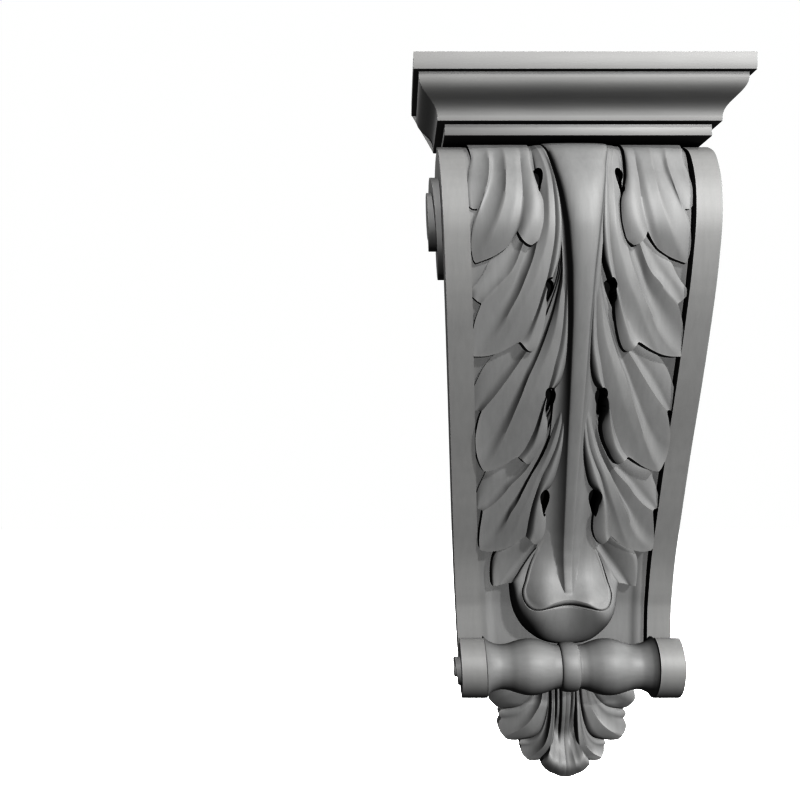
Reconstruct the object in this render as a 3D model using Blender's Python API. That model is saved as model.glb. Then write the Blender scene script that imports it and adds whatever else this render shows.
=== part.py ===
# Corbel bracket with scroll cheeks, acanthus front, turned bolster and leaf drop.
# Metres, +Z up, the wall is the plane y = 0, the carved face looks along -Y.
# Origin: middle of the back edge of the soffit board.
import bpy
import bmesh
import math
from mathutils import Vector
from mathutils.geometry import delaunay_2d_cdt

U = 0.090                # half the width of the crown's slab
ORIGIN_Z = -0.395        # level of the origin below the top, in units of U
GAP = 0.0003 / U         # gap between touching pieces
SMALLEST_STEP = 0.006    # steps lower than this in the carving are closed

SLAB_HALF, SLAB_DEPTH, SLAB_BOTTOM = 1.0, 0.8016, -0.1036
CYMA_TOP_HALF, CYMA_BOTTOM_HALF, CYMA_BOTTOM = 0.9687, 0.854, -0.3595
CROWN_INNER_HALF = 0.72  # plane of the hollow inside the crown
SOFFIT_HALF, SOFFIT_BOTTOM = 0.8094, -0.4305

BAND_HALF, BAND_SLOPE, BAND_WIDTH = 0.868, 0.0471, 0.156
PANEL_HALF, PANEL_SLOPE = 0.755, 0.033
FIELD_SET_BACK, PANEL_THICK = 0.074, 0.105
ROLL_D, ROLL_Z, ROLL_R = 0.305, -3.765, 0.190

# depth of the bands' front edge at levels below the top
FRONT = [(-0.4305, 0.383), (-0.456, 0.456), (-0.517, 0.560), (-0.616, 0.638),
         (-0.744, 0.701), (-0.913, 0.735), (-1.09, 0.731), (-1.41, 0.676),
         (-1.89, 0.543), (-2.34, 0.398), (-2.67, 0.302), (-3.06, 0.197),
         (-3.32, 0.164), (-3.44, 0.162), (-3.668, 0.186)]
# depth of the bands' rear edge on the side faces
REAR = [(-0.90, 0.561), (-1.0, 0.553), (-1.087, 0.541), (-1.242, 0.521), (-1.406, 0.493),
        (-1.728, 0.415), (-2.046, 0.329), (-2.338, 0.241), (-2.681, 0.140), (-3.018, 0.066),
        (-3.184, 0.042), (-3.35, 0.031), (-3.47, 0.031)]
# edge lines of the two volutes, wound inward: (depth, level), top first, then rear
VOLUTE = [(0.354, -0.450), (0.220, -0.487), (0.109, -0.578), (0.012, -0.839), (0.049, -1.074),
          (0.180, -1.222), (0.310, -1.255), (0.404, -1.223), (0.529, -1.087), (0.562, -0.884),
          (0.535, -0.755), (0.474, -0.665), (0.330, -0.615), (0.230, -0.67), (0.185, -0.80),
          (0.197, -0.975), (0.324, -1.079), (0.444, -0.985), (0.465, -0.85), (0.440, -0.755)]
VOLUTE_CENTRE = (0.335, -0.86)
SMALL_VOLUTE = [(0.199, -3.703), (0.194, -3.765), (0.215, -3.828), (0.261, -3.870), (0.310, -3.880),
                (0.359, -3.865), (0.402, -3.824), (0.418, -3.774), (0.405, -3.725),
                (0.370, -3.700), (0.335, -3.696), (0.300, -3.713), (0.285, -3.745)]
SMALL_CENTRE = (0.325, -3.775)
VOLUTE_RISE, SMALL_RISE = 0.078, 0.042


def spline(points, n, closed=False):
    out = []
    m = len(points)
    for i in range(m if closed else m - 1):
        p = [points[(i + k) % m] if closed else points[min(max(i + k, 0), m - 1)]
             for k in (-1, 0, 1, 2)]
        for j in range(n):
            t = j / n
            out.append(tuple(0.5 * (2 * p[1][c] + (p[2][c] - p[0][c]) * t
                       + (2 * p[0][c] - 5 * p[1][c] + 4 * p[2][c] - p[3][c]) * t * t
                       + (3 * p[1][c] - p[0][c] - 3 * p[2][c] + p[3][c]) * t ** 3)
                       for c in (0, 1)))
    if not closed:
        out.append(tuple(points[-1]))
    return out


FRONT_FINE = spline(FRONT, 4)


def front(z):
    if z >= FRONT_FINE[0][0]:
        return FRONT_FINE[0][1]
    for a, b in zip(FRONT_FINE, FRONT_FINE[1:]):
        if z >= b[0]:
            t = (z - a[0]) / (b[0] - a[0])
            return a[1] + (b[1] - a[1]) * t
    return FRONT_FINE[-1][1]


def inside(p, poly):
    c = False
    x, y = p
    j = len(poly) - 1
    for i in range(len(poly)):
        xi, yi = poly[i]
        xj, yj = poly[j]
        if (yi > y) != (yj > y) and x < (xj - xi) * (y - yi) / (yj - yi) + xi:
            c = not c
        j = i
    return c


def material(name, colour):
    m = bpy.data.materials.new(name)
    m.use_nodes = True
    b = m.node_tree.nodes["Principled BSDF"]
    b.inputs["Base Color"].default_value = (*colour, 1.0)
    b.inputs["Roughness"].default_value = 0.6
    m.diffuse_color = (*colour, 1.0)
    return m


def to_object(name, bm, colour):
    bmesh.ops.triangulate(bm, faces=[f for f in bm.faces if len(f.verts) > 3])
    bmesh.ops.recalc_face_normals(bm, faces=bm.faces)
    mesh = bpy.data.meshes.new(name)
    bm.to_mesh(mesh)
    bm.free()
    ob = bpy.data.objects.new(name, mesh)
    bpy.context.scene.collection.objects.link(ob)
    mesh.materials.append(material(name + "_paint", colour))
    return ob


def world(x, d, z):
    return Vector((x * U, -d * U, (z - ORIGIN_Z) * U))


def relief(name, outline, shapes, dots, top, base, place, colour):
    """Solid over an outline: a stepped top (one level per shape, later shapes
    above earlier ones) with upright walls along the shapes, and a base."""
    loops = [outline] + shapes
    coords, edges = [], []
    for loop in loops:
        s = len(coords)
        coords += [Vector(p) for p in loop]
        edges += [(s + i, s + (i + 1) % len(loop)) for i in range(len(loop))]
    coords += [Vector(p) for p in dots if inside(p, outline)]
    verts, _, faces = delaunay_2d_cdt(coords, edges, [], 0, 1e-5)[:3]
    tris, region = [], []
    for f in faces:
        c = (sum(verts[i].x for i in f) / 3, sum(verts[i].y for i in f) / 3)
        if len(f) != 3 or not inside(c, outline):
            continue
        r = 0
        for k, s in enumerate(shapes):
            if inside(c, s):
                r = k + 1
        tris.append(tuple(f))
        region.append(r)
    around = {}
    for f, r in zip(tris, region):
        for v in f:
            around.setdefault(v, set()).add(r)
    level, column = {}, {}
    for v, rs in around.items():
        h = None
        for r in sorted(rs):
            t = top(r, verts[v].x, verts[v].y)
            if h is None or t > h + SMALLEST_STEP:
                h = t
            level[v, r] = round(h, 5)
    ground = {v: round(base(verts[v].x, verts[v].y), 5) for v in around}
    side = {}
    for k, f in enumerate(tris):
        for a, b in ((f[0], f[1]), (f[1], f[2]), (f[2], f[0])):
            side.setdefault((min(a, b), max(a, b)), []).append(region[k])
    rim = set()
    for e, rs in side.items():
        if len(rs) == 1:
            rim.update(e)
    for v, rs in around.items():
        column[v] = sorted({level[v, r] for r in rs} | ({ground[v]} if v in rim else set()))
    bm = bmesh.new()
    made = {}

    def vert(v, h):
        if (v, h) not in made:
            made[v, h] = bm.verts.new(place(verts[v].x, verts[v].y, h))
        return made[v, h]

    for f, r in zip(tris, region):
        bm.faces.new([vert(v, level[v, r]) for v in f])
        bm.faces.new([vert(v, ground[v]) for v in reversed(f)])
    for (a, b), rs in side.items():
        if len(rs) == 1:
            low = (ground[a], ground[b])
            high = (level[a, rs[0]], level[b, rs[0]])
        elif rs[0] != rs[1]:
            low = (level[a, min(rs)], level[b, min(rs)])
            high = (level[a, max(rs)], level[b, max(rs)])
        else:
            continue
        ring = [vert(a, h) for h in column[a] if low[0] <= h <= high[0]]
        ring += [vert(b, h) for h in reversed(column[b]) if low[1] <= h <= high[1]]
        if len(ring) > 2:
            bm.faces.new(ring)
    return to_object(name, bm, colour)


def grid(x0, x1, nx, z0, z1, nz):
    return [(x0 + (x1 - x0) * (i + 0.5 * (j % 2)) / nx, z0 + (z1 - z0) * j / nz)
            for j in range(nz + 1) for i in range(nx + 1)]


# ---------------------------------------------------------------- crown
def crown(colour):
    section = [(SLAB_HALF, 0.0), (SLAB_HALF, SLAB_BOTTOM), (CYMA_TOP_HALF, SLAB_BOTTOM)]
    steps = 10
    fillet = 0.03
    top_z, bottom_z = SLAB_BOTTOM - fillet, CYMA_BOTTOM + fillet + GAP
    section.append((CYMA_TOP_HALF, top_z))
    for i in range(1, steps + 1):
        t = i / steps
        s = t - math.sin(2 * math.pi * t) / (2 * math.pi) * 0.75
        section.append((CYMA_TOP_HALF + (CYMA_BOTTOM_HALF - CYMA_TOP_HALF) * s,
                        top_z + (bottom_z - top_z) * t))
    section.append((CYMA_BOTTOM_HALF, CYMA_BOTTOM + GAP))
    section.append((CROWN_INNER_HALF, CYMA_BOTTOM + GAP))
    section.append((CROWN_INNER_HALF, 0.0))
    bm = bmesh.new()
    rings = []
    for sx, back in ((-1, True), (-1, False), (1, False), (1, True)):
        ring = []
        for w, z in section:
            d = GAP if back else SLAB_DEPTH - (SLAB_HALF - w)
            ring.append(bm.verts.new(world(sx * w, d, z)))
        rings.append(ring)
    n = len(section)
    for a, b in zip(rings, rings[1:]):
        for i in range(n):
            j = (i + 1) % n
            bm.faces.new((a[i], a[j], b[j], b[i]))
    bm.faces.new(rings[0])
    bm.faces.new(list(reversed(rings[-1])))
    return to_object("crown_moulding", bm, colour)


def box(name, lo, hi, colour):
    bm = bmesh.new()
    bmesh.ops.create_cube(bm, size=1.0)
    for v in bm.verts:
        c = [lo[k] + (hi[k] - lo[k]) * (v.co[k] + 0.5) for k in range(3)]
        v.co = Vector(c)
    return to_object(name, bm, colour)


# ---------------------------------------------------------------- scroll cheeks
def arc(cd, cz, r, a0, a1, n):
    return [(cd + r * math.cos(math.radians(a0 + (a1 - a0) * i / n)),
             cz + r * math.sin(math.radians(a0 + (a1 - a0) * i / n))) for i in range(n + 1)]


def turn_angle(p, c):
    return math.degrees(math.atan2(c[0] - p[0], p[1] - c[1])) % 360.0


def half_turns(line, centre):
    """Cut a volute's edge line into sectors of half a turn: (half turn number, polygon)."""
    wound, last = [], None
    for p in line:
        a = turn_angle(p, centre)
        if last is None and a > 300:
            a -= 360.0
        while last is not None and a < last - 180:
            a += 360.0
        wound.append((a, p))
        last = a
    cuts = []
    for (a0, p0), (a1, p1) in zip(wound, wound[1:]):
        cuts.append((a0, p0))
        k = math.floor(a0 / 180.0) + 1
        if a0 < 180.0 * k - 1e-6 < a1 and 180.0 * k < a1 - 1e-6:
            t = (180.0 * k - a0) / (a1 - a0)
            cuts.append((180.0 * k, (p0[0] + (p1[0] - p0[0]) * t, p0[1] + (p1[1] - p0[1]) * t)))
    cuts.append(wound[-1])
    sectors = []
    first, final = math.floor((cuts[0][0] + 1e-6) / 180.0), math.floor((cuts[-1][0] - 1e-6) / 180.0)
    for k in range(first, final + 1):
        part = [p for a, p in cuts if 180.0 * k - 1e-6 <= a <= 180.0 * (k + 1) + 1e-6]
        if len(part) > 1:
            sectors.append((k, [centre] + part))
    return sectors


def cheek(name, sx, colour):
    top_z = SOFFIT_BOTTOM - GAP
    line = [(d, z) for z, d in FRONT_FINE[1:] if z > -3.66]
    rear_end = [(0.058, -3.66), (0.042, -3.60), (0.033, -3.52), (0.029, -3.46)]
    roll = spline([(0.197, -3.712), (0.214, -3.675), (0.243, -3.634), (0.285, -3.597)], 2)
    roll += arc(ROLL_D, ROLL_Z, ROLL_R, 80, -175, 24)
    outline = [(0.0, top_z), (0.354, top_z), (0.40, top_z - 0.004)] + line
    outline += roll + rear_end + [(0.0, -3.42)]
    band = [VOLUTE_CENTRE, VOLUTE[0], (0.354, top_z), (0.40, top_z - 0.004)] + line
    band += roll + rear_end
    band += [(d, z) for z, d in reversed(REAR)]
    shapes, kind = [band], [("band", 0)]
    for k, sector in half_turns(spline(VOLUTE, 2), VOLUTE_CENTRE):
        shapes.append(sector)
        kind.append(("big", k))
    for k, sector in half_turns(spline(SMALL_VOLUTE, 2), SMALL_CENTRE):
        shapes.append(sector)
        kind.append(("small", k))
    inner = BAND_HALF - BAND_WIDTH

    def ramp(p, centre, k, full, flat):
        a = turn_angle(p, centre)
        if k % 2 == 0 and a > 270:
            a -= 360.0
        if k % 2 == 1 and a < 90:
            a += 360.0
        r = math.hypot(p[0] - centre[0], p[1] - centre[1])
        t = min(max((a + 360.0 * (k // 2)) / full, 0.0), 1.0)
        return 1.0 if r < flat and k > 1 else t

    def top(r, d, z):
        if r == 0:
            return PANEL_HALF + PANEL_SLOPE * z
        what, k = kind[r - 1]
        rise = 0.0
        if what == "big":
            rise = VOLUTE_RISE * ramp((d, z), VOLUTE_CENTRE, k, 540.0, 0.10)
        if what == "small":
            rise = SMALL_RISE * ramp((d, z), SMALL_CENTRE, k, 380.0, 0.03)
        return BAND_HALF + BAND_SLOPE * z + rise

    def base(d, z):
        return inner + BAND_SLOPE * z

    return relief(name, outline, shapes, grid(0, 0.75, 2, -0.5, -3.9, 10), top, base,
                  lambda d, z, h: world(sx * h, d, z), colour)


# ---------------------------------------------------------------- leaf front
LOBES = [
    [(0.11, -0.63), (0.33, -0.47), (0.62, -0.47), (0.70, -0.60), (0.665, -0.862), (0.618, -0.882),
     (0.668, -1.02), (0.640, -1.20), (0.56, -1.17), (0.46, -1.09), (0.387, -1.033),
     (0.35, -1.10), (0.304, -1.128), (0.255, -1.02), (0.235, -0.80)],
    [(0.12, -0.75), (0.25, -0.80), (0.52, -1.12), (0.60, -1.20), (0.650, -1.30), (0.645, -1.400),
     (0.590, -1.442), (0.645, -1.55), (0.645, -1.77), (0.50, -1.74), (0.358, -1.677),
     (0.34, -1.74), (0.293, -1.765), (0.235, -1.64), (0.20, -1.45)],
    [(0.09, -1.30), (0.19, -1.42), (0.50, -1.72), (0.60, -1.90), (0.640, -2.091),
     (0.572, -2.095), (0.615, -2.22), (0.600, -2.40), (0.546, -2.475), (0.44, -2.44),
     (0.344, -2.383), (0.32, -2.43), (0.281, -2.440), (0.205, -2.28), (0.17, -2.10)],
    [(0.08, -1.95), (0.16, -2.05), (0.45, -2.40), (0.57, -2.55), (0.592, -2.738),
     (0.550, -2.744), (0.580, -2.86), (0.560, -3.01), (0.47, -3.03), (0.38, -2.985),
     (0.273, -2.903), (0.25, -2.95), (0.205, -2.950), (0.165, -2.82), (0.15, -2.70)],
    [(0.06, -2.60), (0.14, -2.65), (0.38, -2.98), (0.47, -3.04), (0.488, -3.14), (0.475, -3.256),
     (0.40, -3.265), (0.33, -3.250), (0.20, -3.28), (0.05, -3.20)],
]
CUP = [(0.0, -3.17), (0.20, -3.17), (0.325, -3.24), (0.33, -3.36), (0.28, -3.45), (0.20, -3.515),
       (0.10, -3.555), (0.0, -3.568)]
LOBE_RISE = [(0.05, -0.01), (0.07, 0.03), (0.09, 0.06), (0.08, 0.05), (0.05, 0.03)]
STEM = [(-0.4312, 0.205), (-0.60, 0.160), (-1.0, 0.095), (-1.55, 0.054), (-2.16, 0.043),
        (-2.6, 0.036), (-3.2, 0.028)]


def half_stem(z):
    for a, b in zip(STEM, STEM[1:]):
        if z >= b[0]:
            return a[1] + (b[1] - a[1]) * min(max((z - a[0]) / (b[0] - a[0]), 0.0), 1.0)
    return STEM[-1][1]


def mirror(poly):
    return [(-x, z) for x, z in reversed(poly)]


def leaf(colour):
    top_z, low_z = SOFFIT_BOTTOM - GAP, -3.90
    edge = BAND_HALF - BAND_WIDTH - GAP
    zs = [top_z, -0.9, -1.4, -1.9, -2.4, -2.9, -3.4, low_z]
    outline = [(edge + BAND_SLOPE * z, z) for z in zs]
    outline = outline + mirror(outline)
    half = [[p for p in lobe] for lobe in LOBES]
    shapes, kind = [], []
    for k in (4, 3, 2, 1, 0):
        shapes += [half[k], mirror(half[k])]
        kind += [k, k]
    stem = [(half_stem(z), z) for z in (-0.455, -0.6, -0.8, -1.0, -1.3, -1.6, -2.1, -2.6, -3.19)]
    shapes.append(stem + mirror(stem))
    kind.append(5)
    cup = CUP[1:-1] + [CUP[-1]] + mirror(CUP[1:-1])
    shapes.append(cup)
    kind.append(6)

    def top(r, x, z):
        f = front(z)
        a = abs(x)
        if r == 0:
            return f - FIELD_SET_BACK
        k = kind[r - 1]
        if k < 5:
            ridge, tip = LOBE_RISE[k]
            z1 = min(p[1] for p in LOBES[k])
            t = min(max((z - z1) / 0.75, 0.0), 1.0)
            across = math.sin(math.pi * min(max((a - 0.06) / 0.62, 0.0), 1.0))
            return f + tip * (1 - t) - 0.02 * t + ridge * across * (1 - 0.6 * t) - 0.05 * (a / 0.66) ** 4
        if k == 5:
            w = half_stem(z)
            return f + 0.060 + 0.035 * math.sqrt(max(0.0, 1 - (a / w) ** 2))
        t = min(max((z + 3.568) / 0.12, 0.0), 1.0)
        u = min(max((z + 3.36) / 0.19, 0.0), 1.0)
        return 0.33 + 0.07 * t - 0.13 * u - 0.9 * a * a

    def base(x, z):
        return max(front(z) - FIELD_SET_BACK - PANEL_THICK, GAP)

    dots = grid(-0.68, 0.68, 10, -0.44, -3.88, 34)
    dots += [(sx * x, z) for z, _ in FRONT_FINE[1:18] for x in (0.0, 0.12, 0.3, 0.5, 0.66) for sx in (-1, 1)]
    return relief("leaf_panel", outline, shapes, dots, top, base,
                  lambda x, z, h: world(x, h, z), colour)


# ---------------------------------------------------------------- bolster
def bolster(colour):
    half = BAND_HALF - BAND_WIDTH + BAND_SLOPE * (ROLL_Z - 0.2) - 2 * GAP
    prof = [(half, 0.165), (half - 0.02, 0.150), (0.46, 0.139), (0.40, 0.146), (0.33, 0.164),
            (0.26, 0.1735), (0.19, 0.170), (0.13, 0.153), (0.095, 0.143), (0.065, 0.143),
            (0.055, 0.158), (0.035, 0.167), (0.0, 0.170)]
    prof = prof + [(-x, r) for x, r in reversed(prof[:-1])]
    n = 32
    bm = bmesh.new()
    rings = []
    for x, r in prof:
        rings.append([bm.verts.new(world(x, ROLL_D + r * math.cos(2 * math.pi * i / n),
                                         ROLL_Z + 0.02 + r * math.sin(2 * math.pi * i / n)))
                      for i in range(n)])
    for a, b in zip(rings, rings[1:]):
        for i in range(n):
            j = (i + 1) % n
            bm.faces.new((a[i], a[j], b[j], b[i]))
    bm.faces.new(rings[0])
    bm.faces.new(list(reversed(rings[-1])))
    return to_object("bolster", bm, colour)


# ---------------------------------------------------------------- leaf drop
DROP = [(0.52, -3.905), (0.515, -4.00), (0.44, -4.065), (0.455, -4.13), (0.44, -4.20), (0.385, -4.235),
        (0.32, -4.225), (0.325, -4.30), (0.29, -4.345), (0.20, -4.345), (0.165, -4.41),
        (0.10, -4.45), (0.0, -4.485)]
DROP_MID = [(0.34, -3.92), (0.33, -4.05), (0.27, -4.20), (0.17, -4.26), (0.16, -4.38), (0.08, -4.43),
            (0.0, -4.45)]


def drop(colour):
    outline = DROP + mirror(DROP[:-1])
    mid = DROP_MID + mirror(DROP_MID[:-1])
    rib = [(0.06, -3.92), (0.05, -4.2), (0.03, -4.40), (-0.03, -4.40), (-0.05, -4.2), (-0.06, -3.92)]

    def top(r, x, z):
        t = (-3.90 - z) / 0.585
        a = abs(x)
        if r == 0:
            return 0.17 - 0.12 * (a / 0.52) ** 2
        if r == 1:
            return 0.215 - 0.08 * (a / 0.34) ** 2 + 0.04 * max(0.0, t - 0.55)
        return 0.245 + 0.05 * max(0.0, t - 0.55)

    pocket = [(0.36, -3.95), (0.36, -4.05), (0.27, -4.18), (0.16, -4.27), (0.0, -4.33)]
    pocket = pocket + mirror(pocket[:-1])
    ob = relief("pendant_leaf", outline, [mid, rib], grid(-0.5, 0.5, 8, -3.95, -4.45, 6), top,
                lambda x, z: GAP, lambda x, z, h: world(x, h, z), colour)
    cut = relief("pendant_hollow", pocket, [], [], lambda r, x, z: 0.085,
                 lambda x, z: -0.05, lambda x, z, h: world(x, h, z), colour)
    cut.hide_render = True
    cut.display_type = 'WIRE'
    mod = ob.modifiers.new("render_hollow", 'BOOLEAN')
    mod.operation = 'DIFFERENCE'
    mod.solver = 'EXACT'
    mod.object = cut
    return ob


for old in list(bpy.data.objects):
    bpy.data.objects.remove(old, do_unlink=True)

GREY = (0.42, 0.42, 0.42)
crown(GREY)
box("soffit_board", tuple(world(-SOFFIT_HALF, SLAB_DEPTH - (SLAB_HALF - SOFFIT_HALF), SOFFIT_BOTTOM)),
    tuple(world(SOFFIT_HALF, 0.0, CYMA_BOTTOM)), GREY)
cheek("left_scroll", -1, GREY)
cheek("right_scroll", 1, GREY)
leaf(GREY)
bolster(GREY)
drop(GREY)
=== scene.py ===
# Corbel bracket: the carved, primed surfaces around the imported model.
# Lengths are in units of U, half the width of the crown's slab: x across,
# d forward from the wall, z down from the top.
import bpy
import bmesh
import math
import numpy as np
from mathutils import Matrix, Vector
from mathutils.geometry import delaunay_2d_cdt

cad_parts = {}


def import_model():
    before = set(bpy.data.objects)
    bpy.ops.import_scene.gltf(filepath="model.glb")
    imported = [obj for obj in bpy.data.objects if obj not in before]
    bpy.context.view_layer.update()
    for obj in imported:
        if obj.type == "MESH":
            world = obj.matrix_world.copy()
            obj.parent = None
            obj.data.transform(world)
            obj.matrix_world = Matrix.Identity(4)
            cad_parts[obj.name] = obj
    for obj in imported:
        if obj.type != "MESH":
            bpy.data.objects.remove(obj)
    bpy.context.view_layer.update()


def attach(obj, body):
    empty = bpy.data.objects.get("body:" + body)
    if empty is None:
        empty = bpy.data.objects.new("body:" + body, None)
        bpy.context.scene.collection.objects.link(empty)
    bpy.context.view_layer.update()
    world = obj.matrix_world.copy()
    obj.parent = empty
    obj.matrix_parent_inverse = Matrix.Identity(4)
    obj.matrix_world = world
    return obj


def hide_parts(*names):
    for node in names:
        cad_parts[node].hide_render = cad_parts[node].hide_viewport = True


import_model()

U = 0.090
ORIGIN_Z = -0.395
GAP = 0.0003 / U
SMALLEST_STEP = 0.0012

SLAB_HALF, SLAB_DEPTH, SLAB_BOTTOM = 1.0, 0.8016, -0.1036
CYMA_TOP_HALF, CYMA_BOTTOM_HALF, CYMA_BOTTOM = 0.9687, 0.854, -0.3595
CROWN_INNER_HALF = 0.72
SOFFIT_HALF, SOFFIT_BOTTOM = 0.8094, -0.4305
BAND_HALF, BAND_SLOPE, BAND_WIDTH = 0.868, 0.0471, 0.156
PANEL_HALF, PANEL_SLOPE = 0.755, 0.033
FIELD_SET_BACK, PANEL_THICK = 0.074, 0.105
ROLL_D, ROLL_Z, ROLL_R = 0.305, -3.734, 0.193
LEAF_TOP = SOFFIT_BOTTOM - GAP

FRONT = [(-0.4305, 0.383), (-0.456, 0.456), (-0.517, 0.560), (-0.616, 0.638),
         (-0.744, 0.701), (-0.913, 0.735), (-1.09, 0.731), (-1.41, 0.676),
         (-1.89, 0.543), (-2.34, 0.398), (-2.67, 0.302), (-3.06, 0.197),
         (-3.32, 0.164), (-3.44, 0.162), (-3.668, 0.186)]
REAR = [(-0.90, 0.561), (-1.0, 0.553), (-1.087, 0.541), (-1.242, 0.521), (-1.406, 0.493),
        (-1.728, 0.415), (-2.046, 0.329), (-2.338, 0.241), (-2.681, 0.140), (-3.018, 0.066),
        (-3.184, 0.042), (-3.35, 0.031), (-3.47, 0.031)]
VOLUTE = [(0.354, -0.450), (0.220, -0.487), (0.109, -0.578), (0.012, -0.839), (0.049, -1.074),
          (0.180, -1.222), (0.310, -1.255), (0.404, -1.223), (0.529, -1.087), (0.562, -0.884),
          (0.535, -0.755), (0.474, -0.665), (0.330, -0.615), (0.230, -0.67), (0.185, -0.80),
          (0.197, -0.975), (0.324, -1.079), (0.444, -0.985), (0.465, -0.85), (0.440, -0.755)]
VOLUTE_CENTRE = (0.335, -0.86)
SMALL_VOLUTE = [(0.199, -3.672), (0.194, -3.734), (0.215, -3.797), (0.261, -3.839), (0.310, -3.849),
                (0.359, -3.834), (0.402, -3.793), (0.418, -3.743), (0.405, -3.694),
                (0.370, -3.669), (0.335, -3.665), (0.300, -3.682), (0.285, -3.714)]
SMALL_CENTRE = (0.325, -3.744)
VOLUTE_RISE, SMALL_RISE = 0.078, 0.042


# ---------------------------------------------------------------- curves
def spline(points, n, closed=False):
    out = []
    m = len(points)
    for i in range(m if closed else m - 1):
        p = [points[(i + k) % m] if closed else points[min(max(i + k, 0), m - 1)]
             for k in (-1, 0, 1, 2)]
        for j in range(n):
            t = j / n
            out.append(tuple(0.5 * (2 * p[1][c] + (p[2][c] - p[0][c]) * t
                       + (2 * p[0][c] - 5 * p[1][c] + 4 * p[2][c] - p[3][c]) * t * t
                       + (3 * p[1][c] - p[0][c] - 3 * p[2][c] + p[3][c]) * t ** 3)
                       for c in (0, 1)))
    if not closed:
        out.append(tuple(points[-1]))
    return out


FRONT_FINE = np.array(spline(FRONT, 12))[::-1]


def front(z):
    """Depth of the curved front at level z (number or array)."""
    return np.interp(z, FRONT_FINE[:, 0], FRONT_FINE[:, 1])


def resample(points, n, smooth=True):
    """n points at even distances along a smooth curve through the points."""
    fine = np.array(spline(points, 16) if smooth else points, float)
    step = np.hypot(*np.diff(fine, axis=0).T)
    run = np.concatenate([[0.0], np.cumsum(step)])
    at = np.linspace(0.0, run[-1], n)
    return np.stack([np.interp(at, run, fine[:, 0]), np.interp(at, run, fine[:, 1])], 1)


def inside_all(pts, poly):
    pts = np.asarray(pts, float)
    poly = np.asarray(poly, float)
    x, y = pts[:, 0], pts[:, 1]
    c = np.zeros(len(pts), bool)
    j = len(poly) - 1
    for i in range(len(poly)):
        xi, yi = poly[i]
        xj, yj = poly[j]
        if yi != yj:
            cross = ((yi > y) != (yj > y)) & (x < (xj - xi) * (y - yi) / (yj - yi) + xi)
            c ^= cross
        j = i
    return c


def mirror(poly):
    return [(-x, z) for x, z in reversed(poly)]


def world(x, d, z):
    return Vector((x * U, -d * U, (z - ORIGIN_Z) * U))


def to_object(name, bm):
    bmesh.ops.triangulate(bm, faces=[f for f in bm.faces if len(f.verts) > 4])
    bmesh.ops.recalc_face_normals(bm, faces=bm.faces)
    mesh = bpy.data.meshes.new(name)
    bm.to_mesh(mesh)
    bm.free()
    ob = bpy.data.objects.new(name, mesh)
    bpy.context.scene.collection.objects.link(ob)
    return ob


# ---------------------------------------------------------------- stepped relief
def relief(name, outline, shapes, dots, top, base, place):
    """Solid over an outline: a stepped top (one level per shape, later shapes
    above earlier ones) with upright walls along the shapes, and a base."""
    loops = [outline] + shapes
    coords, edges = [], []
    for loop in loops:
        s = len(coords)
        coords += [Vector(p) for p in loop]
        edges += [(s + i, s + (i + 1) % len(loop)) for i in range(len(loop))]
    keep = inside_all(dots, outline) if len(dots) else []
    coords += [Vector(p) for p, k in zip(dots, keep) if k]
    verts, _, faces = delaunay_2d_cdt(coords, edges, [], 0, 1e-5)[:3]
    faces = [tuple(f) for f in faces if len(f) == 3]
    flat = np.array([(v.x, v.y) for v in verts])
    mid = flat[np.array(faces)].mean(1)
    good = inside_all(mid, outline)
    of_shape = np.zeros(len(faces), int)
    for k, s in enumerate(shapes):
        of_shape[inside_all(mid, s)] = k + 1
    tris = [f for f, g in zip(faces, good) if g]
    region = [int(r) for r, g in zip(of_shape, good) if g]
    around = {}
    for f, r in zip(tris, region):
        for v in f:
            around.setdefault(v, set()).add(r)
    level, column = {}, {}
    for v, rs in around.items():
        h = None
        for r in sorted(rs):
            t = top(r, flat[v][0], flat[v][1])
            if h is None or t > h + SMALLEST_STEP:
                h = t
            level[v, r] = round(float(h), 6)
    ground = {v: round(float(base(flat[v][0], flat[v][1])), 6) for v in around}
    side = {}
    for k, f in enumerate(tris):
        for a, b in ((f[0], f[1]), (f[1], f[2]), (f[2], f[0])):
            side.setdefault((min(a, b), max(a, b)), []).append(region[k])
    rim = set()
    for e, rs in side.items():
        if len(rs) == 1:
            rim.update(e)
    for v, rs in around.items():
        column[v] = sorted({level[v, r] for r in rs} | ({ground[v]} if v in rim else set()))
    bm = bmesh.new()
    made = {}

    def vert(v, h):
        if (v, h) not in made:
            made[v, h] = bm.verts.new(place(flat[v][0], flat[v][1], h))
        return made[v, h]

    for f, r in zip(tris, region):
        bm.faces.new([vert(v, level[v, r]) for v in f])
        bm.faces.new([vert(v, ground[v]) for v in reversed(f)])
    for (a, b), rs in side.items():
        if len(rs) == 1:
            low = (ground[a], ground[b])
            high = (level[a, rs[0]], level[b, rs[0]])
        elif rs[0] != rs[1]:
            low = (level[a, min(rs)], level[b, min(rs)])
            high = (level[a, max(rs)], level[b, max(rs)])
        else:
            continue
        ring = [vert(a, h) for h in column[a] if low[0] <= h <= high[0]]
        ring += [vert(b, h) for h in reversed(column[b]) if low[1] <= h <= high[1]]
        if len(ring) > 2:
            bm.faces.new(ring)
    return to_object(name, bm)


def grid(x0, x1, nx, z0, z1, nz):
    return [(x0 + (x1 - x0) * (i + 0.5 * (j % 2)) / nx, z0 + (z1 - z0) * j / nz)
            for j in range(nz + 1) for i in range(nx + 1)]


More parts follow.
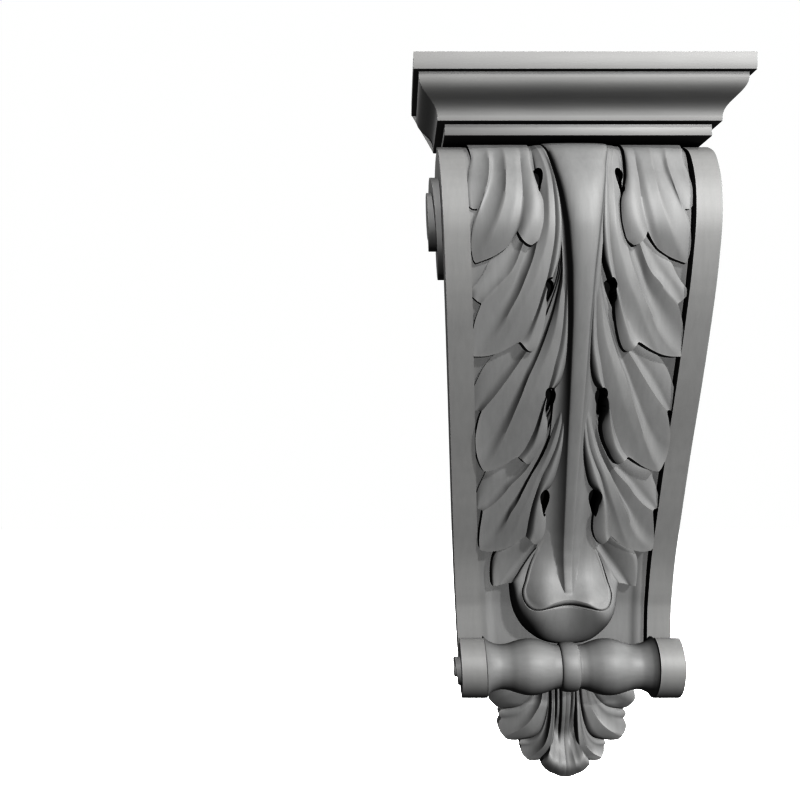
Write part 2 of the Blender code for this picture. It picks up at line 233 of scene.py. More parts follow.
# ---------------------------------------------------------------- crown
def eased(section, r):
    """Take the outer arrises of a section off by a small chamfer of two steps."""
    out = []
    n = len(section)
    for i in range(n):
        a, b, c = (Vector(section[(i + k) % n]) for k in (-1, 0, 1))
        u, v = (a - b), (c - b)
        turn = u.normalized().dot(v.normalized())
        if abs(turn) < 0.5 and u.length > 3 * r and v.length > 3 * r:
            p, q = b + u.normalized() * r, b + v.normalized() * r
            m = (p + q) * 0.5 * 0.55 + b * 0.45
            out += [tuple(p), tuple(m), tuple(q)]
        else:
            out.append(tuple(b))
    return out


def crown():
    section = [(SLAB_HALF, 0.0), (SLAB_HALF, SLAB_BOTTOM), (CYMA_TOP_HALF, SLAB_BOTTOM)]
    steps, fillet = 44, 0.03
    top_z, bottom_z = SLAB_BOTTOM - fillet, CYMA_BOTTOM + fillet + GAP
    section.append((CYMA_TOP_HALF, top_z))
    for i in range(1, steps + 1):
        t = i / steps
        s = t - math.sin(2 * math.pi * t) / (2 * math.pi) * 0.75
        section.append((CYMA_TOP_HALF + (CYMA_BOTTOM_HALF - CYMA_TOP_HALF) * s,
                        top_z + (bottom_z - top_z) * t))
    section.append((CYMA_BOTTOM_HALF, CYMA_BOTTOM + GAP))
    section.append((CROWN_INNER_HALF, CYMA_BOTTOM + GAP))
    section.append((CROWN_INNER_HALF, 0.0))
    section = eased(section, 0.0035)
    bm = bmesh.new()
    rings = []
    for sx, back in ((-1, True), (-1, False), (1, False), (1, True)):
        ring = []
        for w, z in section:
            d = GAP if back else SLAB_DEPTH - (SLAB_HALF - w)
            ring.append(bm.verts.new(world(sx * w, d, z)))
        rings.append(ring)
    n = len(section)
    for a, b in zip(rings, rings[1:]):
        for i in range(n):
            j = (i + 1) % n
            bm.faces.new((a[i], a[j], b[j], b[i]))
    bm.faces.new(rings[0])
    bm.faces.new(list(reversed(rings[-1])))
    return to_object("crown_run", bm)


def board():
    front_d = SLAB_DEPTH - (SLAB_HALF - SOFFIT_HALF)
    bm = bmesh.new()
    bmesh.ops.create_cube(bm, size=1.0)
    lo, hi = world(-SOFFIT_HALF, front_d, SOFFIT_BOTTOM), world(SOFFIT_HALF, 0.0, CYMA_BOTTOM)
    for v in bm.verts:
        v.co = Vector([lo[k] + (hi[k] - lo[k]) * (v.co[k] + 0.5) for k in range(3)])
    bmesh.ops.bevel(bm, geom=bm.edges[:], offset=0.0003, segments=2, affect='EDGES', profile=0.5)
    return to_object("soffit_run", bm)


# ---------------------------------------------------------------- scroll cheeks
def arc(cd, cz, r, a0, a1, n):
    return [(cd + r * math.cos(math.radians(a0 + (a1 - a0) * i / n)),
             cz + r * math.sin(math.radians(a0 + (a1 - a0) * i / n))) for i in range(n + 1)]


def turn_angle(p, c):
    return math.degrees(math.atan2(c[0] - p[0], p[1] - c[1])) % 360.0


def eye(c, r, a0, a1):
    """The last turn closes round the eye."""
    return [(c[0] - r * math.sin(math.radians(a)), c[1] + r * math.cos(math.radians(a)))
            for a in np.linspace(a0, a1, 24)]


def half_turns(line, centre):
    wound, last = [], None
    for p in line:
        a = turn_angle(p, centre)
        if last is None and a > 300:
            a -= 360.0
        while last is not None and a < last - 180:
            a += 360.0
        while last is not None and a > last + 180:
            a -= 360.0
        wound.append((a, p))
        last = a
    cuts = []
    for (a0, p0), (a1, p1) in zip(wound, wound[1:]):
        cuts.append((a0, p0))
        k = math.floor(a0 / 180.0) + 1
        if a0 < 180.0 * k - 1e-6 < a1 and 180.0 * k < a1 - 1e-6:
            t = (180.0 * k - a0) / (a1 - a0)
            cuts.append((180.0 * k, (p0[0] + (p1[0] - p0[0]) * t, p0[1] + (p1[1] - p0[1]) * t)))
    cuts.append(wound[-1])
    sectors = []
    first, final = math.floor((cuts[0][0] + 1e-6) / 180.0), math.floor((cuts[-1][0] - 1e-6) / 180.0)
    for k in range(first, final + 1):
        part = [p for a, p in cuts if 180.0 * k - 1e-6 <= a <= 180.0 * (k + 1) + 1e-6]
        if len(part) > 1:
            sectors.append((k, [centre] + part))
    return sectors


def ring_dots(centre, radii, n):
    return [(centre[0] + r * math.cos(2 * math.pi * (i + 0.5 * (k % 2)) / n),
             centre[1] + r * math.sin(2 * math.pi * (i + 0.5 * (k % 2)) / n))
            for k, r in enumerate(radii) for i in range(n)]


def cheek(name, sx):
    top_z = SOFFIT_BOTTOM - GAP
    line = [(d, z) for z, d in spline(FRONT, 8)[4:] if -3.66 < z < -0.4305 - 0.006]
    rear_end = spline([(0.062, -3.69), (0.046, -3.62), (0.035, -3.53), (0.031, -3.47)], 4)[2:]
    roll = spline([(0.194, -3.690), (0.210, -3.648), (0.240, -3.604), (0.285, -3.563)], 4)
    roll += arc(ROLL_D, ROLL_Z, ROLL_R, 80, -175, 64)
    outline = [(0.0, top_z), (0.354, top_z), (0.385, top_z - 0.002)] + line
    outline += roll + rear_end + [(0.0, -3.42)]
    band = [VOLUTE_CENTRE, VOLUTE[0], (0.354, top_z), (0.385, top_z - 0.002)] + line
    band += roll + rear_end
    band += [(d, z) for z, d in reversed(spline(REAR, 5))]
    shapes, kind = [band], [("band", 0)]
    big_line = spline(VOLUTE, 7) + eye(VOLUTE_CENTRE, 0.147, 685, 900)
    small_line = spline(SMALL_VOLUTE, 6) + eye(SMALL_CENTRE, 0.049, 425, 720)
    for k, sector in half_turns(big_line, VOLUTE_CENTRE):
        shapes.append(sector)
        kind.append(("big", k))
    for k, sector in half_turns(small_line, SMALL_CENTRE):
        shapes.append(sector)
        kind.append(("small", k))
    inner = BAND_HALF - BAND_WIDTH

    def ramp(p, centre, k, full, flat):
        a = turn_angle(p, centre)
        if k % 2 == 0 and a > 270:
            a -= 360.0
        if k % 2 == 1 and a < 90:
            a += 360.0
        r = math.hypot(p[0] - centre[0], p[1] - centre[1])
        t = min(max((a + 360.0 * (k // 2)) / full, 0.0), 1.0)
        return 1.0 if r < flat and k > 1 else t

    def top(r, d, z):
        if r == 0:
            return PANEL_HALF + PANEL_SLOPE * z
        what, k = kind[r - 1]
        rise = 0.0
        if what == "big":
            rise = VOLUTE_RISE * ramp((d, z), VOLUTE_CENTRE, k, 540.0, 0.10)
        if what == "small":
            rise = SMALL_RISE * ramp((d, z), SMALL_CENTRE, k, 380.0, 0.03)
        return BAND_HALF + BAND_SLOPE * z + rise

    def base(d, z):
        return inner + BAND_SLOPE * z

    dots = grid(0.03, 0.70, 8, -0.47, -3.6, 60)
    dots += ring_dots(VOLUTE_CENTRE, (0.05, 0.09, 0.13, 0.18, 0.23, 0.28, 0.33), 40)
    dots += ring_dots(SMALL_CENTRE, (0.03, 0.06, 0.10, 0.14), 24)
    return relief(name, outline, shapes, dots, top, base, lambda d, z, h: world(sx * h, d, z))


# ---------------------------------------------------------------- acanthus
# Each lobe is drawn by the lines its carver would pencil on: the outer edge,
# the first flute, the arris to the first notch, the second flute, the arris
# to the main tip, the broad face, the crease to the second notch, the back
# of the inner leaflet and the inner edge. A line is its points (x, z) and
# its heights over the front curve at even distances along it.
def L(points, *heights):
    return (points, heights)


LOBE_1 = dict(
    lines=[
        L([(.664, LEAF_TOP), (.653, -.50), (.645, -.56), (.657, -.62), (.670, -.70), (.675, -.77), (.668, -.870)],
          -.022, -.044, -.050, -.050, -.052),
        L([(.636, LEAF_TOP), (.622, -.53), (.630, -.62), (.645, -.72), (.652, -.82), (.645, -.887)],
          -.020, -.040, -.045, -.046, -.049),
        L([(.555, LEAF_TOP), (.541, -.52), (.539, -.60), (.550, -.70), (.575, -.80), (.597, -.86), (.618, -.893)],
          -.019, -.022, -.022, -.028, -.041),
        L([(.515, LEAF_TOP), (.512, -.55), (.518, -.65), (.535, -.73), (.580, -.85), (.630, -.99), (.653, -1.07)],
          -.019, -.032, -.034, -.034, -.041),
        L([(.455, LEAF_TOP), (.446, -.52), (.443, -.60), (.447, -.70), (.457, -.80), (.483, -.90), (.520, -1.0),
           (.560, -1.09), (.600, -1.17), (.627, -1.213)],
          -.018, -.003, .000, -.010, -.040),
        L([(.395, LEAF_TOP), (.390, -.55), (.392, -.72), (.404, -.87), (.439, -1.0), (.480, -1.10), (.510, -1.165)],
          -.018, -.006, .000, -.004, -.026),
        L([(.347, LEAF_TOP), (.349, -.55), (.349, -.70), (.350, -.80), (.357, -.90), (.370, -.99), (.384, -1.033)],
          -.019, -.018, -.013, -.008, -.004),
        L([(.312, LEAF_TOP), (.302, -.60), (.290, -.76), (.285, -.90), (.298, -1.02), (.330, -1.10)],
          -.019, -.006, .005, .014, .018),
        L([(.290, LEAF_TOP), (.288, -.52), (.283, -.60), (.272, -.69), (.250, -.78), (.232, -.84), (.228, -.90),
           (.231, -.97), (.243, -1.03), (.262, -1.085), (.300, -1.117)],
          -.020, -.018, -.010, -.002, .010)],
    ends=[[(.668, -.870), (.660, -.880), (.645, -.890), (.618, -.893)],
          [(.618, -.893), (.637, -.95), (.650, -1.02), (.655, -1.08), (.652, -1.14), (.642, -1.19), (.627, -1.213)],
          [(.627, -1.213), (.587, -1.200), (.533, -1.180), (.487, -1.155), (.450, -1.128), (.420, -1.090),
           (.400, -1.060), (.384, -1.033)],
          [(.384, -1.033), (.367, -1.070), (.347, -1.095), (.320, -1.113), (.300, -1.117)]])

LOBE_2 = dict(
    lines=[
        L([(.288, LEAF_TOP), (.280, -.60), (.290, -.80), (.380, -1.02), (.470, -1.12), (.543, -1.20), (.570, -1.253),
           (.593, -1.293), (.620, -1.33), (.645, -1.36), (.645, -1.405)],
          -.050, -.070, -.066, -.058, -.040),
        L([(.284, LEAF_TOP), (.275, -.60), (.280, -.80), (.350, -1.03), (.430, -1.15), (.500, -1.25), (.560, -1.32),
           (.600, -1.375), (.618, -1.425)],
          -.050, -.070, -.060, -.048, -.032),
        L([(.280, LEAF_TOP), (.270, -.60), (.270, -.80), (.330, -1.04), (.380, -1.19), (.420, -1.267), (.467, -1.317),
           (.520, -1.377), (.567, -1.423), (.590, -1.450)],
          -.050, -.068, -.046, -.022, -.020),
        L([(.275, LEAF_TOP), (.264, -.60), (.262, -.80), (.300, -1.05), (.350, -1.20), (.400, -1.32), (.470, -1.40),
           (.540, -1.47), (.623, -1.543)],
          -.050, -.068, -.050, -.032, -.016),
        L([(.268, LEAF_TOP), (.255, -.60), (.240, -.80), (.250, -1.0), (.275, -1.13), (.293, -1.20), (.33, -1.30),
           (.370, -1.40), (.423, -1.50), (.473, -1.60), (.54, -1.69), (.627, -1.765)],
          -.050, -.050, -.014, .010, .003),
        L([(.247, LEAF_TOP), (.205, -.60), (.196, -.70), (.196, -.90), (.200, -1.0), (.215, -1.10), (.243, -1.20),
           (.280, -1.32), (.340, -1.46), (.400, -1.60), (.470, -1.74)],
          -.030, -.024, -.004, .016, .020),
        L([(.225, LEAF_TOP), (.178, -.62), (.163, -.80), (.160, -.90), (.160, -1.0), (.167, -1.10), (.183, -1.20),
           (.203, -1.30), (.232, -1.40), (.262, -1.50), (.303, -1.60), (.335, -1.655), (.357, -1.68)],
          -.024, -.024, -.010, .010, .040),
        L([(.212, LEAF_TOP), (.165, -.62), (.142, -.80), (.134, -.95), (.137, -1.05), (.155, -1.20), (.178, -1.30),
           (.208, -1.40), (.230, -1.50), (.255, -1.60), (.285, -1.70), (.310, -1.73)],
          -.022, -.012, .004, .032, .062),
        L([(.200, LEAF_TOP), (.155, -.62), (.128, -.80), (.118, -.95), (.120, -1.08), (.135, -1.20), (.165, -1.29),
           (.190, -1.36), (.201, -1.437), (.205, -1.50), (.215, -1.57), (.228, -1.63), (.243, -1.68), (.262, -1.72),
           (.285, -1.738)],
          -.022, -.020, -.010, .016, .054)],
    ends=[[(.645, -1.405), (.62, -1.43), (.590, -1.450)],
          [(.590, -1.450), (.607, -1.495), (.623, -1.54), (.635, -1.60), (.640, -1.66), (.641, -1.72), (.637, -1.752),
           (.627, -1.765)],
          [(.627, -1.765), (.567, -1.765), (.507, -1.753), (.453, -1.731), (.407, -1.706), (.373, -1.686),
           (.357, -1.680)],
          [(.357, -1.680), (.343, -1.695), (.325, -1.718), (.305, -1.735), (.285, -1.738)]])

LOBE_3 = dict(
    lines=[
        L([(.150, -.75), (.125, -1.0), (.130, -1.25), (.19, -1.44), (.30, -1.60), (.42, -1.70), (.507, -1.755),
           (.545, -1.80), (.577, -1.85), (.60, -1.90), (.633, -1.983), (.645, -2.04), (.643, -2.085)],
          -.048, -.048, -.054, -.050, -.034),
        L([(.147, -.75), (.122, -1.0), (.126, -1.25), (.18, -1.45), (.27, -1.62), (.38, -1.75), (.47, -1.85),
           (.54, -1.95), (.59, -2.04), (.615, -2.092)],
          -.046, -.046, -.046, -.032, -.022),
        L([(.144, -.75), (.119, -1.0), (.122, -1.25), (.172, -1.45), (.25, -1.64), (.34, -1.78), (.42, -1.90),
           (.50, -2.01), (.55, -2.07), (.573, -2.098)],
          -.044, -.040, -.028, .006, .015),
        L([(.141, -.75), (.116, -1.0), (.118, -1.25), (.162, -1.46), (.23, -1.66), (.30, -1.80), (.37, -1.93),
           (.45, -2.06), (.53, -2.16), (.597, -2.19)],
          -.042, -.036, -.022, .008, .034),
        L([(.138, -.75), (.113, -1.0), (.113, -1.25), (.150, -1.47), (.185, -1.60), (.225, -1.72), (.265, -1.82),
           (.300, -1.90), (.335, -2.0), (.373, -2.10), (.412, -2.20), (.455, -2.30), (.505, -2.40), (.550, -2.477)],
          -.028, -.022, .012, .056, .063),
        L([(.135, -.75), (.110, -1.0), (.106, -1.25), (.125, -1.42), (.133, -1.50), (.147, -1.60), (.172, -1.70),
           (.207, -1.80), (.240, -1.90), (.285, -2.02), (.340, -2.16), (.395, -2.30), (.440, -2.44)],
          -.026, -.012, .028, .060, .066),
        L([(.130, -.75), (.105, -1.0), (.095, -1.25), (.096, -1.45), (.101, -1.58), (.115, -1.70), (.137, -1.80),
           (.158, -1.90), (.185, -2.0), (.215, -2.10), (.25, -2.22), (.30, -2.33), (.342, -2.385)],
          -.026, -.012, .022, .054, .072),
        L([(.126, -.75), (.100, -1.0), (.086, -1.25), (.080, -1.45), (.081, -1.60), (.090, -1.72), (.110, -1.82),
           (.135, -1.92), (.185, -2.02), (.200, -2.10), (.215, -2.20), (.245, -2.32), (.305, -2.415)],
          -.026, .000, .034, .080, .110),
        L([(.122, -.75), (.095, -1.0), (.078, -1.25), (.068, -1.45), (.064, -1.60), (.066, -1.72), (.080, -1.84),
           (.110, -1.93), (.165, -1.985), (.180, -2.05), (.183, -2.10), (.170, -2.16), (.168, -2.20), (.175, -2.24),
           (.190, -2.29), (.215, -2.34), (.245, -2.395), (.275, -2.427)],
          -.028, -.006, .016, .050, .098)],
    ends=[[(.643, -2.085), (.62, -2.093), (.59, -2.093), (.573, -2.098)],
          [(.573, -2.098), (.588, -2.14), (.600, -2.20), (.608, -2.26), (.605, -2.32), (.595, -2.38), (.578, -2.43),
           (.562, -2.463), (.550, -2.477)],
          [(.550, -2.477), (.513, -2.473), (.473, -2.46), (.433, -2.44), (.393, -2.413), (.360, -2.391),
           (.342, -2.385)],
          [(.342, -2.385), (.325, -2.396), (.310, -2.412), (.293, -2.424), (.275, -2.427)]])

LOBE_4 = dict(
    lines=[
        L([(.085, -1.45), (.070, -1.70), (.080, -1.90), (.15, -2.12), (.26, -2.30), (.40, -2.42), (.517, -2.477),
           (.545, -2.525), (.577, -2.603), (.592, -2.66), (.594, -2.71)],
          -.020, -.016, -.048, -.048, -.034),
        L([(.083, -1.45), (.068, -1.70), (.078, -1.90), (.14, -2.13), (.23, -2.32), (.33, -2.45), (.43, -2.55),
           (.51, -2.64), (.56, -2.70), (.572, -2.73)],
          -.018, -.014, -.036, -.022, -.012),
        L([(.081, -1.45), (.066, -1.70), (.075, -1.90), (.13, -2.14), (.20, -2.33), (.28, -2.47), (.373, -2.57),
           (.407, -2.617), (.46, -2.677), (.507, -2.717), (.547, -2.741)],
          -.018, -.012, -.012, .016, .020),
        L([(.079, -1.45), (.064, -1.70), (.072, -1.90), (.12, -2.15), (.18, -2.34), (.25, -2.48), (.32, -2.59),
           (.40, -2.69), (.48, -2.78), (.557, -2.83)],
          -.016, -.010, -.010, .014, .024),
        L([(.077, -1.45), (.062, -1.70), (.069, -1.90), (.11, -2.15), (.16, -2.32), (.205, -2.42), (.25, -2.50),
           (.297, -2.60), (.337, -2.69), (.372, -2.75), (.41, -2.84), (.46, -2.92), (.553, -3.005)],
          -.014, -.004, .032, .060, .034),
        L([(.075, -1.45), (.060, -1.70), (.065, -1.90), (.09, -2.13), (.13, -2.30), (.175, -2.42), (.22, -2.52),
           (.265, -2.64), (.315, -2.76), (.365, -2.88), (.42, -2.995)],
          -.012, .006, .046, .070, .056),
        L([(.072, -1.45), (.057, -1.70), (.058, -1.90), (.072, -2.13), (.10, -2.30), (.143, -2.42), (.180, -2.50),
           (.213, -2.60), (.240, -2.70), (.257, -2.80), (.266, -2.87), (.272, -2.900)],
          -.012, .006, .040, .062, .068),
        L([(.069, -1.45), (.054, -1.70), (.052, -1.90), (.060, -2.13), (.080, -2.30), (.120, -2.44), (.150, -2.53),
           (.190, -2.62), (.208, -2.70), (.215, -2.80), (.222, -2.88), (.238, -2.93)],
          -.012, .014, .050, .092, .110),
        L([(.066, -1.45), (.051, -1.70), (.047, -1.90), (.048, -2.13), (.058, -2.30), (.085, -2.45), (.12, -2.56),
           (.165, -2.61), (.180, -2.65), (.172, -2.70), (.155, -2.75), (.150, -2.80), (.153, -2.86), (.172, -2.915),
           (.205, -2.951)],
          -.014, .006, .032, .066, .100)],
    ends=[[(.594, -2.71), (.585, -2.725), (.56, -2.735), (.547, -2.741)],
          [(.547, -2.741), (.553, -2.79), (.562, -2.86), (.566, -2.93), (.563, -2.985), (.553, -3.005)],
          [(.553, -3.005), (.507, -3.012), (.46, -3.008), (.413, -2.993), (.367, -2.972), (.327, -2.946),
           (.30, -2.922), (.272, -2.900)],
          [(.272, -2.900), (.255, -2.915), (.240, -2.932), (.222, -2.947), (.205, -2.951)]])

LOBE_5 = dict(
    lines=[
        L([(.060, -2.05), (.055, -2.30), (.09, -2.55), (.18, -2.75), (.30, -2.90), (.40, -2.975), (.447, -3.01),
           (.470, -3.06), (.479, -3.12), (.481, -3.18), (.477, -3.238)],
          .000, .000, -.020, .010, .006),
        L([(.056, -2.05), (.051, -2.30), (.084, -2.55), (.17, -2.76), (.285, -2.92), (.385, -3.00), (.430, -3.05),
           (.452, -3.12), (.460, -3.18), (.460, -3.245)],
          .002, .004, .000, .026, .020),
        L([(.050, -2.05), (.045, -2.30), (.074, -2.56), (.14, -2.79), (.225, -2.96), (.310, -3.08), (.370, -3.16),
           (.425, -3.243)],
          .004, .010, .004, .004, .012),
        L([(.040, -2.05), (.036, -2.30), (.060, -2.58), (.115, -2.83), (.185, -2.985), (.245, -3.09), (.300, -3.165),
           (.352, -3.222)],
          .006, .018, .026, .036, .042)],
    ends=[[(.477, -3.238), (.470, -3.247), (.460, -3.247)],
          [(.460, -3.247), (.44, -3.246), (.425, -3.243)],
          [(.425, -3.243), (.387, -3.230), (.352, -3.222)]])

# how the surface runs from one line to the next: "cove" lies flat and then
# rises to an arris, "fall" drops off evenly, "back" is round-topped and falls
# into the next crease, "swell" rises round out of a crease, "roll" rounds
# over to an edge
WAYS = ("swell", "cove", "fall", "cove", "fall", "back", "swell", "roll")
WAYS_5 = ("swell", "back", "cove")

PITS = [
    [(0.256, -0.628), (0.238, -0.622), (0.224, -0.634), (0.219, -0.660), (0.222, -0.695), (0.232, -0.735),
     (0.247, -0.792), (0.257, -0.770), (0.256, -0.735), (0.258, -0.705), (0.269, -0.680), (0.272, -0.650)],
    [(0.204, -1.316), (0.187, -1.303), (0.167, -1.306), (0.153, -1.325), (0.154, -1.355), (0.169, -1.395),
     (0.197, -1.445), (0.209, -1.425), (0.207, -1.395), (0.204, -1.370), (0.213, -1.345)],
    [(0.184, -1.966), (0.163, -1.953), (0.140, -1.960), (0.123, -1.985), (0.123, -2.020), (0.138, -2.062),
     (0.167, -2.120), (0.184, -2.095), (0.183, -2.060), (0.182, -2.030), (0.190, -1.998)],
    [(0.186, -2.612), (0.166, -2.596), (0.142, -2.602), (0.126, -2.630), (0.127, -2.668), (0.140, -2.712),
     (0.160, -2.768), (0.173, -2.738), (0.180, -2.700), (0.189, -2.670), (0.195, -2.638)],
]
STEM = [(-0.4312, 0.205), (-0.50, 0.183), (-0.60, 0.160), (-0.80, 0.124), (-1.0, 0.095), (-1.25, 0.070),
        (-1.55, 0.054), (-2.16, 0.043), (-2.6, 0.036), (-3.2, 0.028), (-3.5, 0.026)]
STEM_CREST = [(-0.4312, 0.020), (-0.50, 0.038), (-0.60, 0.055), (-0.8, 0.064), (-1.0, 0.070), (-1.55, 0.078),
              (-2.16, 0.084), (-2.6, 0.086), (-2.9, 0.090), (-3.0, 0.096), (-3.1, 0.112), (-3.2, 0.142), (-3.25, 0.160),
              (-3.30, 0.168)]
STEM_ARRIS = [(-0.4312, -0.008), (-0.50, 0.000), (-0.60, 0.010), (-0.8, 0.024), (-1.0, 0.038), (-1.55, 0.062),
              (-2.16, 0.076), (-2.6, 0.080), (-2.9, 0.085), (-3.0, 0.092), (-3.1, 0.107), (-3.2, 0.136), (-3.25, 0.154),
              (-3.30, 0.163)]
STEM_FOOT = [(-0.4312, -0.020), (-0.60, -0.014), (-1.0, -0.002), (-1.4, 0.012), (-2.0, 0.026), (-2.6, 0.036),
             (-2.9, 0.045), (-3.0, 0.052), (-3.1, 0.070), (-3.2, 0.106), (-3.25, 0.126), (-3.30, 0.14)]
STEM_REACH = [(-0.4312, 0.010), (-0.60, 0.016), (-1.0, 0.032), (-1.5, 0.055), (-2.0, 0.085), (-2.5, 0.115),
              (-3.0, 0.125), (-3.2, 0.10), (-3.5, 0.06)]


def way(kind, t):
    if kind == "cove":
        return t ** 2.2
    if kind == "fall":
        return t
    if kind == "back":
        return t ** 1.8
    if kind == "swell":
        return math.sin(t * math.pi / 2)
    return t * t


def lobe_grid(lobe, ways, rows, cols):
    """Points and heights of a lobe on a grid: rows along the lines, columns across."""
    s = np.linspace(0.0, 1.0, rows)
    tracks = np.array([resample(p, rows) for p, _ in lobe["lines"]])
    highs = []
    for _, h in lobe["lines"]:
        f = np.array(spline([(k / (len(h) - 1), v) for k, v in enumerate(h)], 12))
        highs.append(np.interp(s, f[:, 0], f[:, 1]))
    n = len(tracks)
    per = (n - 1) // len(lobe["ends"])
    rim = [resample(e, per * cols + 1) for e in lobe["ends"]]
    rim = np.concatenate([rim[0]] + [r[1:] for r in rim[1:]])
    w = np.clip((s - 0.60) / 0.40, 0, 1)
    w = (w * w * (3 - 2 * w))[:, None]
    xs, zs, hs = [], [], []
    for i in range(n - 1):
        a, b, c, d = (tracks[min(max(i + k, 0), n - 1)] for k in (-1, 0, 1, 2))
        for j in range(cols + (i == n - 2)):
            t = j / cols
            p = b + (c - b) * t
            q = 0.5 * (2 * b + (c - a) * t + (2 * a - 5 * b + 4 * c - d) * t * t
                       + (3 * b - a - 3 * c + d) * t ** 3)
            p = p * 0.5 + q * 0.5
            p = p + w * (rim[i * cols + j] - p[-1])
            h = highs[i] + (highs[i + 1] - highs[i]) * way(ways[i], t)
            xs.append(p[:, 0])
            zs.append(p[:, 1])
            hs.append(h)
    return np.array(xs).T, np.array(zs).T, np.array(hs).T


def shell(name, X, Z, D, base):
    """Closed solid: a grid surface, walls straight back from its rim, and a base."""
    r, c = X.shape
    B = np.minimum(base(X, Z), D - 0.01)
    pts = np.concatenate([np.stack([X, D, Z], -1).reshape(-1, 3), np.stack([X, B, Z], -1).reshape(-1, 3)])
    co = np.stack([pts[:, 0] * U, -pts[:, 1] * U, (pts[:, 2] - ORIGIN_Z) * U], 1)
    k = np.arange(r * c).reshape(r, c)
    quads = np.stack([k[:-1, :-1], k[:-1, 1:], k[1:, 1:], k[1:, :-1]], -1).reshape(-1, 4)
    under = quads[:, ::-1] + r * c
    rim = np.concatenate([k[0, :], k[1:, -1], k[-1, -2::-1], k[-2:0:-1, 0]])
    nxt = np.roll(rim, -1)
    walls = np.stack([nxt, rim, rim + r * c, nxt + r * c], 1)
    faces = np.concatenate([quads, under, walls])
    mesh = bpy.data.meshes.new(name)
    mesh.from_pydata(co.tolist(), [], faces.tolist())
    bm = bmesh.new()
    bm.from_mesh(mesh)
    bmesh.ops.triangulate(bm, faces=bm.faces[:])
    bmesh.ops.recalc_face_normals(bm, faces=bm.faces)
    bm.to_mesh(mesh)
    bm.free()
    ob = bpy.data.objects.new(name, mesh)
    bpy.context.scene.collection.objects.link(ob)
    return ob


def flipped(ob, name):
    """The same solid on the other side of the middle."""
    mesh = ob.data.copy()
    bm = bmesh.new()
    bm.from_mesh(mesh)
    for v in bm.verts:
        v.co.x = -v.co.x
    bmesh.ops.reverse_faces(bm, faces=bm.faces[:])
    bm.to_mesh(mesh)
    bm.free()
    other = bpy.data.objects.new(name, mesh)
    bpy.context.scene.collection.objects.link(other)
    return other


def combine(target, other, operation):
    """Boolean of two closed solids, kept only when the result has over a hundred faces and a changed face count."""
    before = len(target.data.polygons)
    for solver in ('MANIFOLD', 'EXACT'):
        mod = target.modifiers.new("join", 'BOOLEAN')
        mod.operation = operation
        mod.solver = solver
        mod.object = other
        deps = bpy.context.evaluated_depsgraph_get()
        mesh = bpy.data.meshes.new_from_object(target.evaluated_get(deps))
        target.modifiers.remove(mod)
        if len(mesh.polygons) > 100 and len(mesh.polygons) != before:
            old = target.data
            target.data = mesh
            bpy.data.meshes.remove(old)
            break
        print("not joined by", solver, other.name)
    bpy.data.objects.remove(other, do_unlink=True)


def at(table, z):
    t = np.array(sorted(table))
    return np.interp(z, t[:, 0], t[:, 1])


def panel_back(X, Z):
    return np.maximum(front(Z) - FIELD_SET_BACK - PANEL_THICK, GAP)


def inside_field(X, Z):
    return front(Z) - FIELD_SET_BACK - 0.03


def field():
    zs = np.linspace(LEAF_TOP, -3.90, 150)
    edge = (BAND_HALF - BAND_WIDTH - GAP) + BAND_SLOPE * zs
    t = np.linspace(-1, 1, 61)
    X = edge[:, None] * t[None, :]
    Z = np.repeat(zs[:, None], len(t), 1)
    near = np.clip((np.abs(X) - (edge[:, None] - 0.085)) / 0.03, 0, 1)
    low = np.clip((-2.9 - Z) / 0.4, 0, 1)
    D = face(Z) - FIELD_SET_BACK + 0.016 * near * near * (3 - 2 * near) * low
    return shell("leaf_panel_carved", X, Z, D, panel_back)


def stem():
    zs = np.concatenate([np.linspace(LEAF_TOP, -1.2, 50), np.linspace(-1.22, -3.295, 100)])
    w, crest, arris, foot, reach = (at(t, zs)[:, None] for t in
                                    (STEM, STEM_CREST, STEM_ARRIS, STEM_FOOT, STEM_REACH))
    q = np.concatenate([np.linspace(0, 1, 14), 1 + np.linspace(0.06, 1, 12) ** 1.5])
    over = np.clip(q - 1, 0, 1)[None, :]
    dome = np.sqrt(np.clip(1 - np.clip(q, 0, 1) ** 2.4, 0, 1))[None, :]
    half_x = np.where(q[None, :] <= 1, w * q[None, :], w + reach * over)
    skirt = foot - 0.008 + (arris - foot + 0.008) * (1 - over) ** at([(-3.4, 2.4), (-2.2, 2.6), (-1.5, 3.0), (-0.5, 3.4)], zs)[:, None]
    rel = np.where(q[None, :] <= 1, arris + (crest - arris) * dome, skirt)
    X = np.concatenate([-half_x[:, :0:-1], half_x], 1)
    R = np.concatenate([rel[:, :0:-1], rel], 1)
    Z = np.repeat(zs[:, None], X.shape[1], 1)
    return shell("stem", X, Z, face(Z) + R, inside_field)


def face(z):
    """The carved face leaves the bands' curve under the crown and runs straight up."""
    return front(z) + 0.072 * np.clip((np.asarray(z, float) + 0.66) / 0.23, 0, 1) ** 2


# the turned-over tip: the scoop above the lip, the rolled lip, the bowl below
LIP = [(0.0, -3.342), (.03, -3.343), (.073, -3.348), (.127, -3.356), (.18, -3.365), (.220, -3.368), (.250, -3.359),
       (.272, -3.336), (.284, -3.308), (.288, -3.278), (.282, -3.243), (.268, -3.205), (.253, -3.150), (.236, -3.095),
       (.212, -3.035), (.182, -2.975)]
BOWL = [(0.0, -3.612), (.06, -3.610), (.12, -3.602), (.176, -3.585), (.238, -3.548), (.288, -3.495), (.322, -3.430),
        (.342, -3.350), (.350, -3.285), (.353, -3.245), (.350, -3.215), (.320, -3.175), (.290, -3.125),
        (.258, -3.075), (.222, -3.020), (.1835, -2.972)]
SCOOP = spline([(-2.2, -0.02), (-2.5, 0.008), (-2.75, 0.028), (-2.9, 0.042), (-3.0, 0.054), (-3.1, 0.076),
                (-3.2, 0.117), (-3.27, 0.165), (-3.32, 0.210), (-3.36, 0.243), (-3.42, 0.270)], 6)
